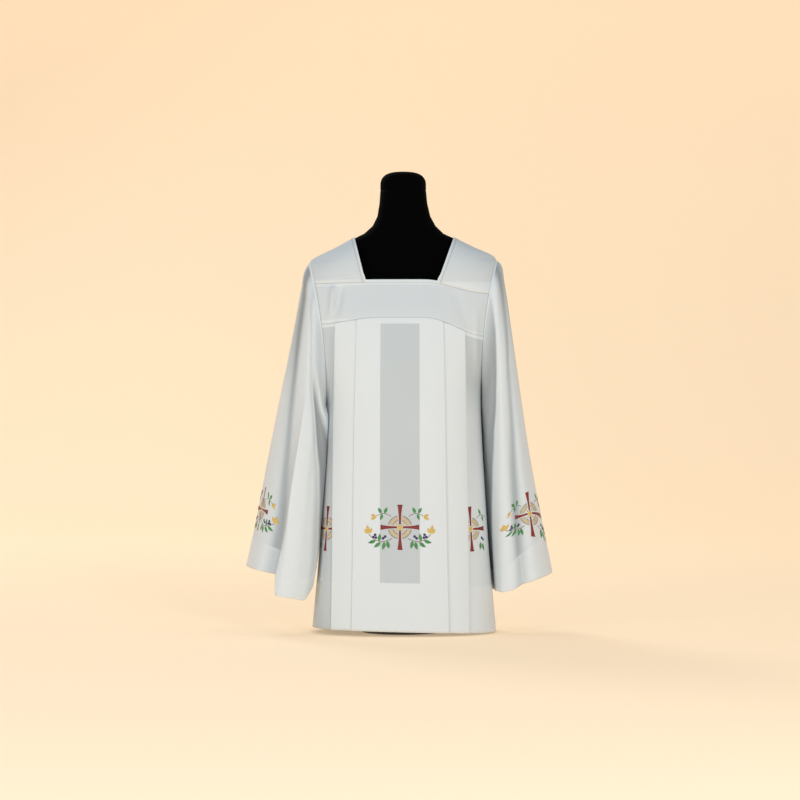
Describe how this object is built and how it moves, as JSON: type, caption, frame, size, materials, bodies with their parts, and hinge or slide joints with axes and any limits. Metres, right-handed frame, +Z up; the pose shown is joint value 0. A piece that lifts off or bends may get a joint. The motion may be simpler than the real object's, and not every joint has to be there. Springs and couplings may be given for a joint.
{
  "type": "surplice on a dress form",
  "caption": "White pleated surplice with a square neck, yoke strips and wide hanging sleeves, worn by a limbless black dress form on a flat base.",
  "frame": {"origin": "centre of the dress form's base, on its underside, where it stands on the floor", "axes": "+Z up, the garment's front faces -Y, and +X is to the right as seen from the front"},
  "size_m": [0.7079, 0.2882, 1.065],
  "materials": {
    "cloth": "matt",
    "velvet": "matt",
    "steel": "satin"
  },
  "bodies": {
    "root": {"body_front": "cloth", "body_back": "cloth", "yoke_front": "cloth", "yoke_back": "cloth", "shoulder_left": "cloth", "shoulder_right": "cloth", "neck_strip": "cloth", "sleeve_left": "cloth", "sleeve_right": "cloth", "form_torso": "velvet", "form_cap": "velvet", "form_pole": "steel", "form_base": "steel"}
  },
  "joints": []
}
